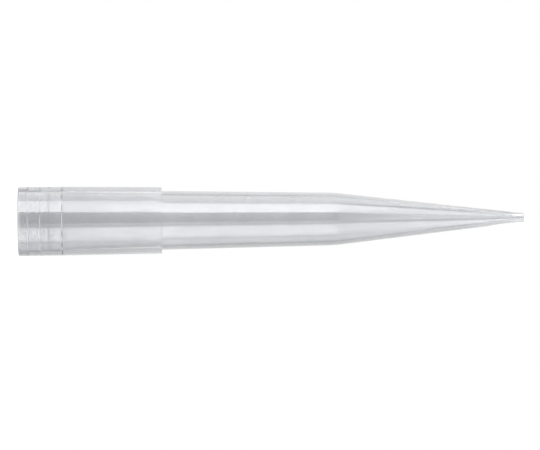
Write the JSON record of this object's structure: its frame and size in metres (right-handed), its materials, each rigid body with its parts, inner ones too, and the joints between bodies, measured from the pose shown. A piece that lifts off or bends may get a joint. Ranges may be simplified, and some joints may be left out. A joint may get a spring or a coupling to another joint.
{
  "type": "pipette tip",
  "caption": "Disposable laboratory pipette tip: a translucent tube with a thick collar that grips a pipette's nozzle, a slender barrel and a long taper to a fine orifice.",
  "frame": {"origin": "centre of the mouth's rim, the flat ring that the tip stands on", "axes": "+Z along the tip's axis, from the wide mouth to the fine orifice; the tip is round about +Z, so +X and +Y are any two directions square to it"},
  "size_m": [0.0098, 0.0098, 0.0715],
  "materials": {
    "polypropylene": "natural translucent polypropylene, smooth and glossy as moulded"
  },
  "bodies": {
    "root": {"pipette_tip": "polypropylene"}
  },
  "joints": []
}
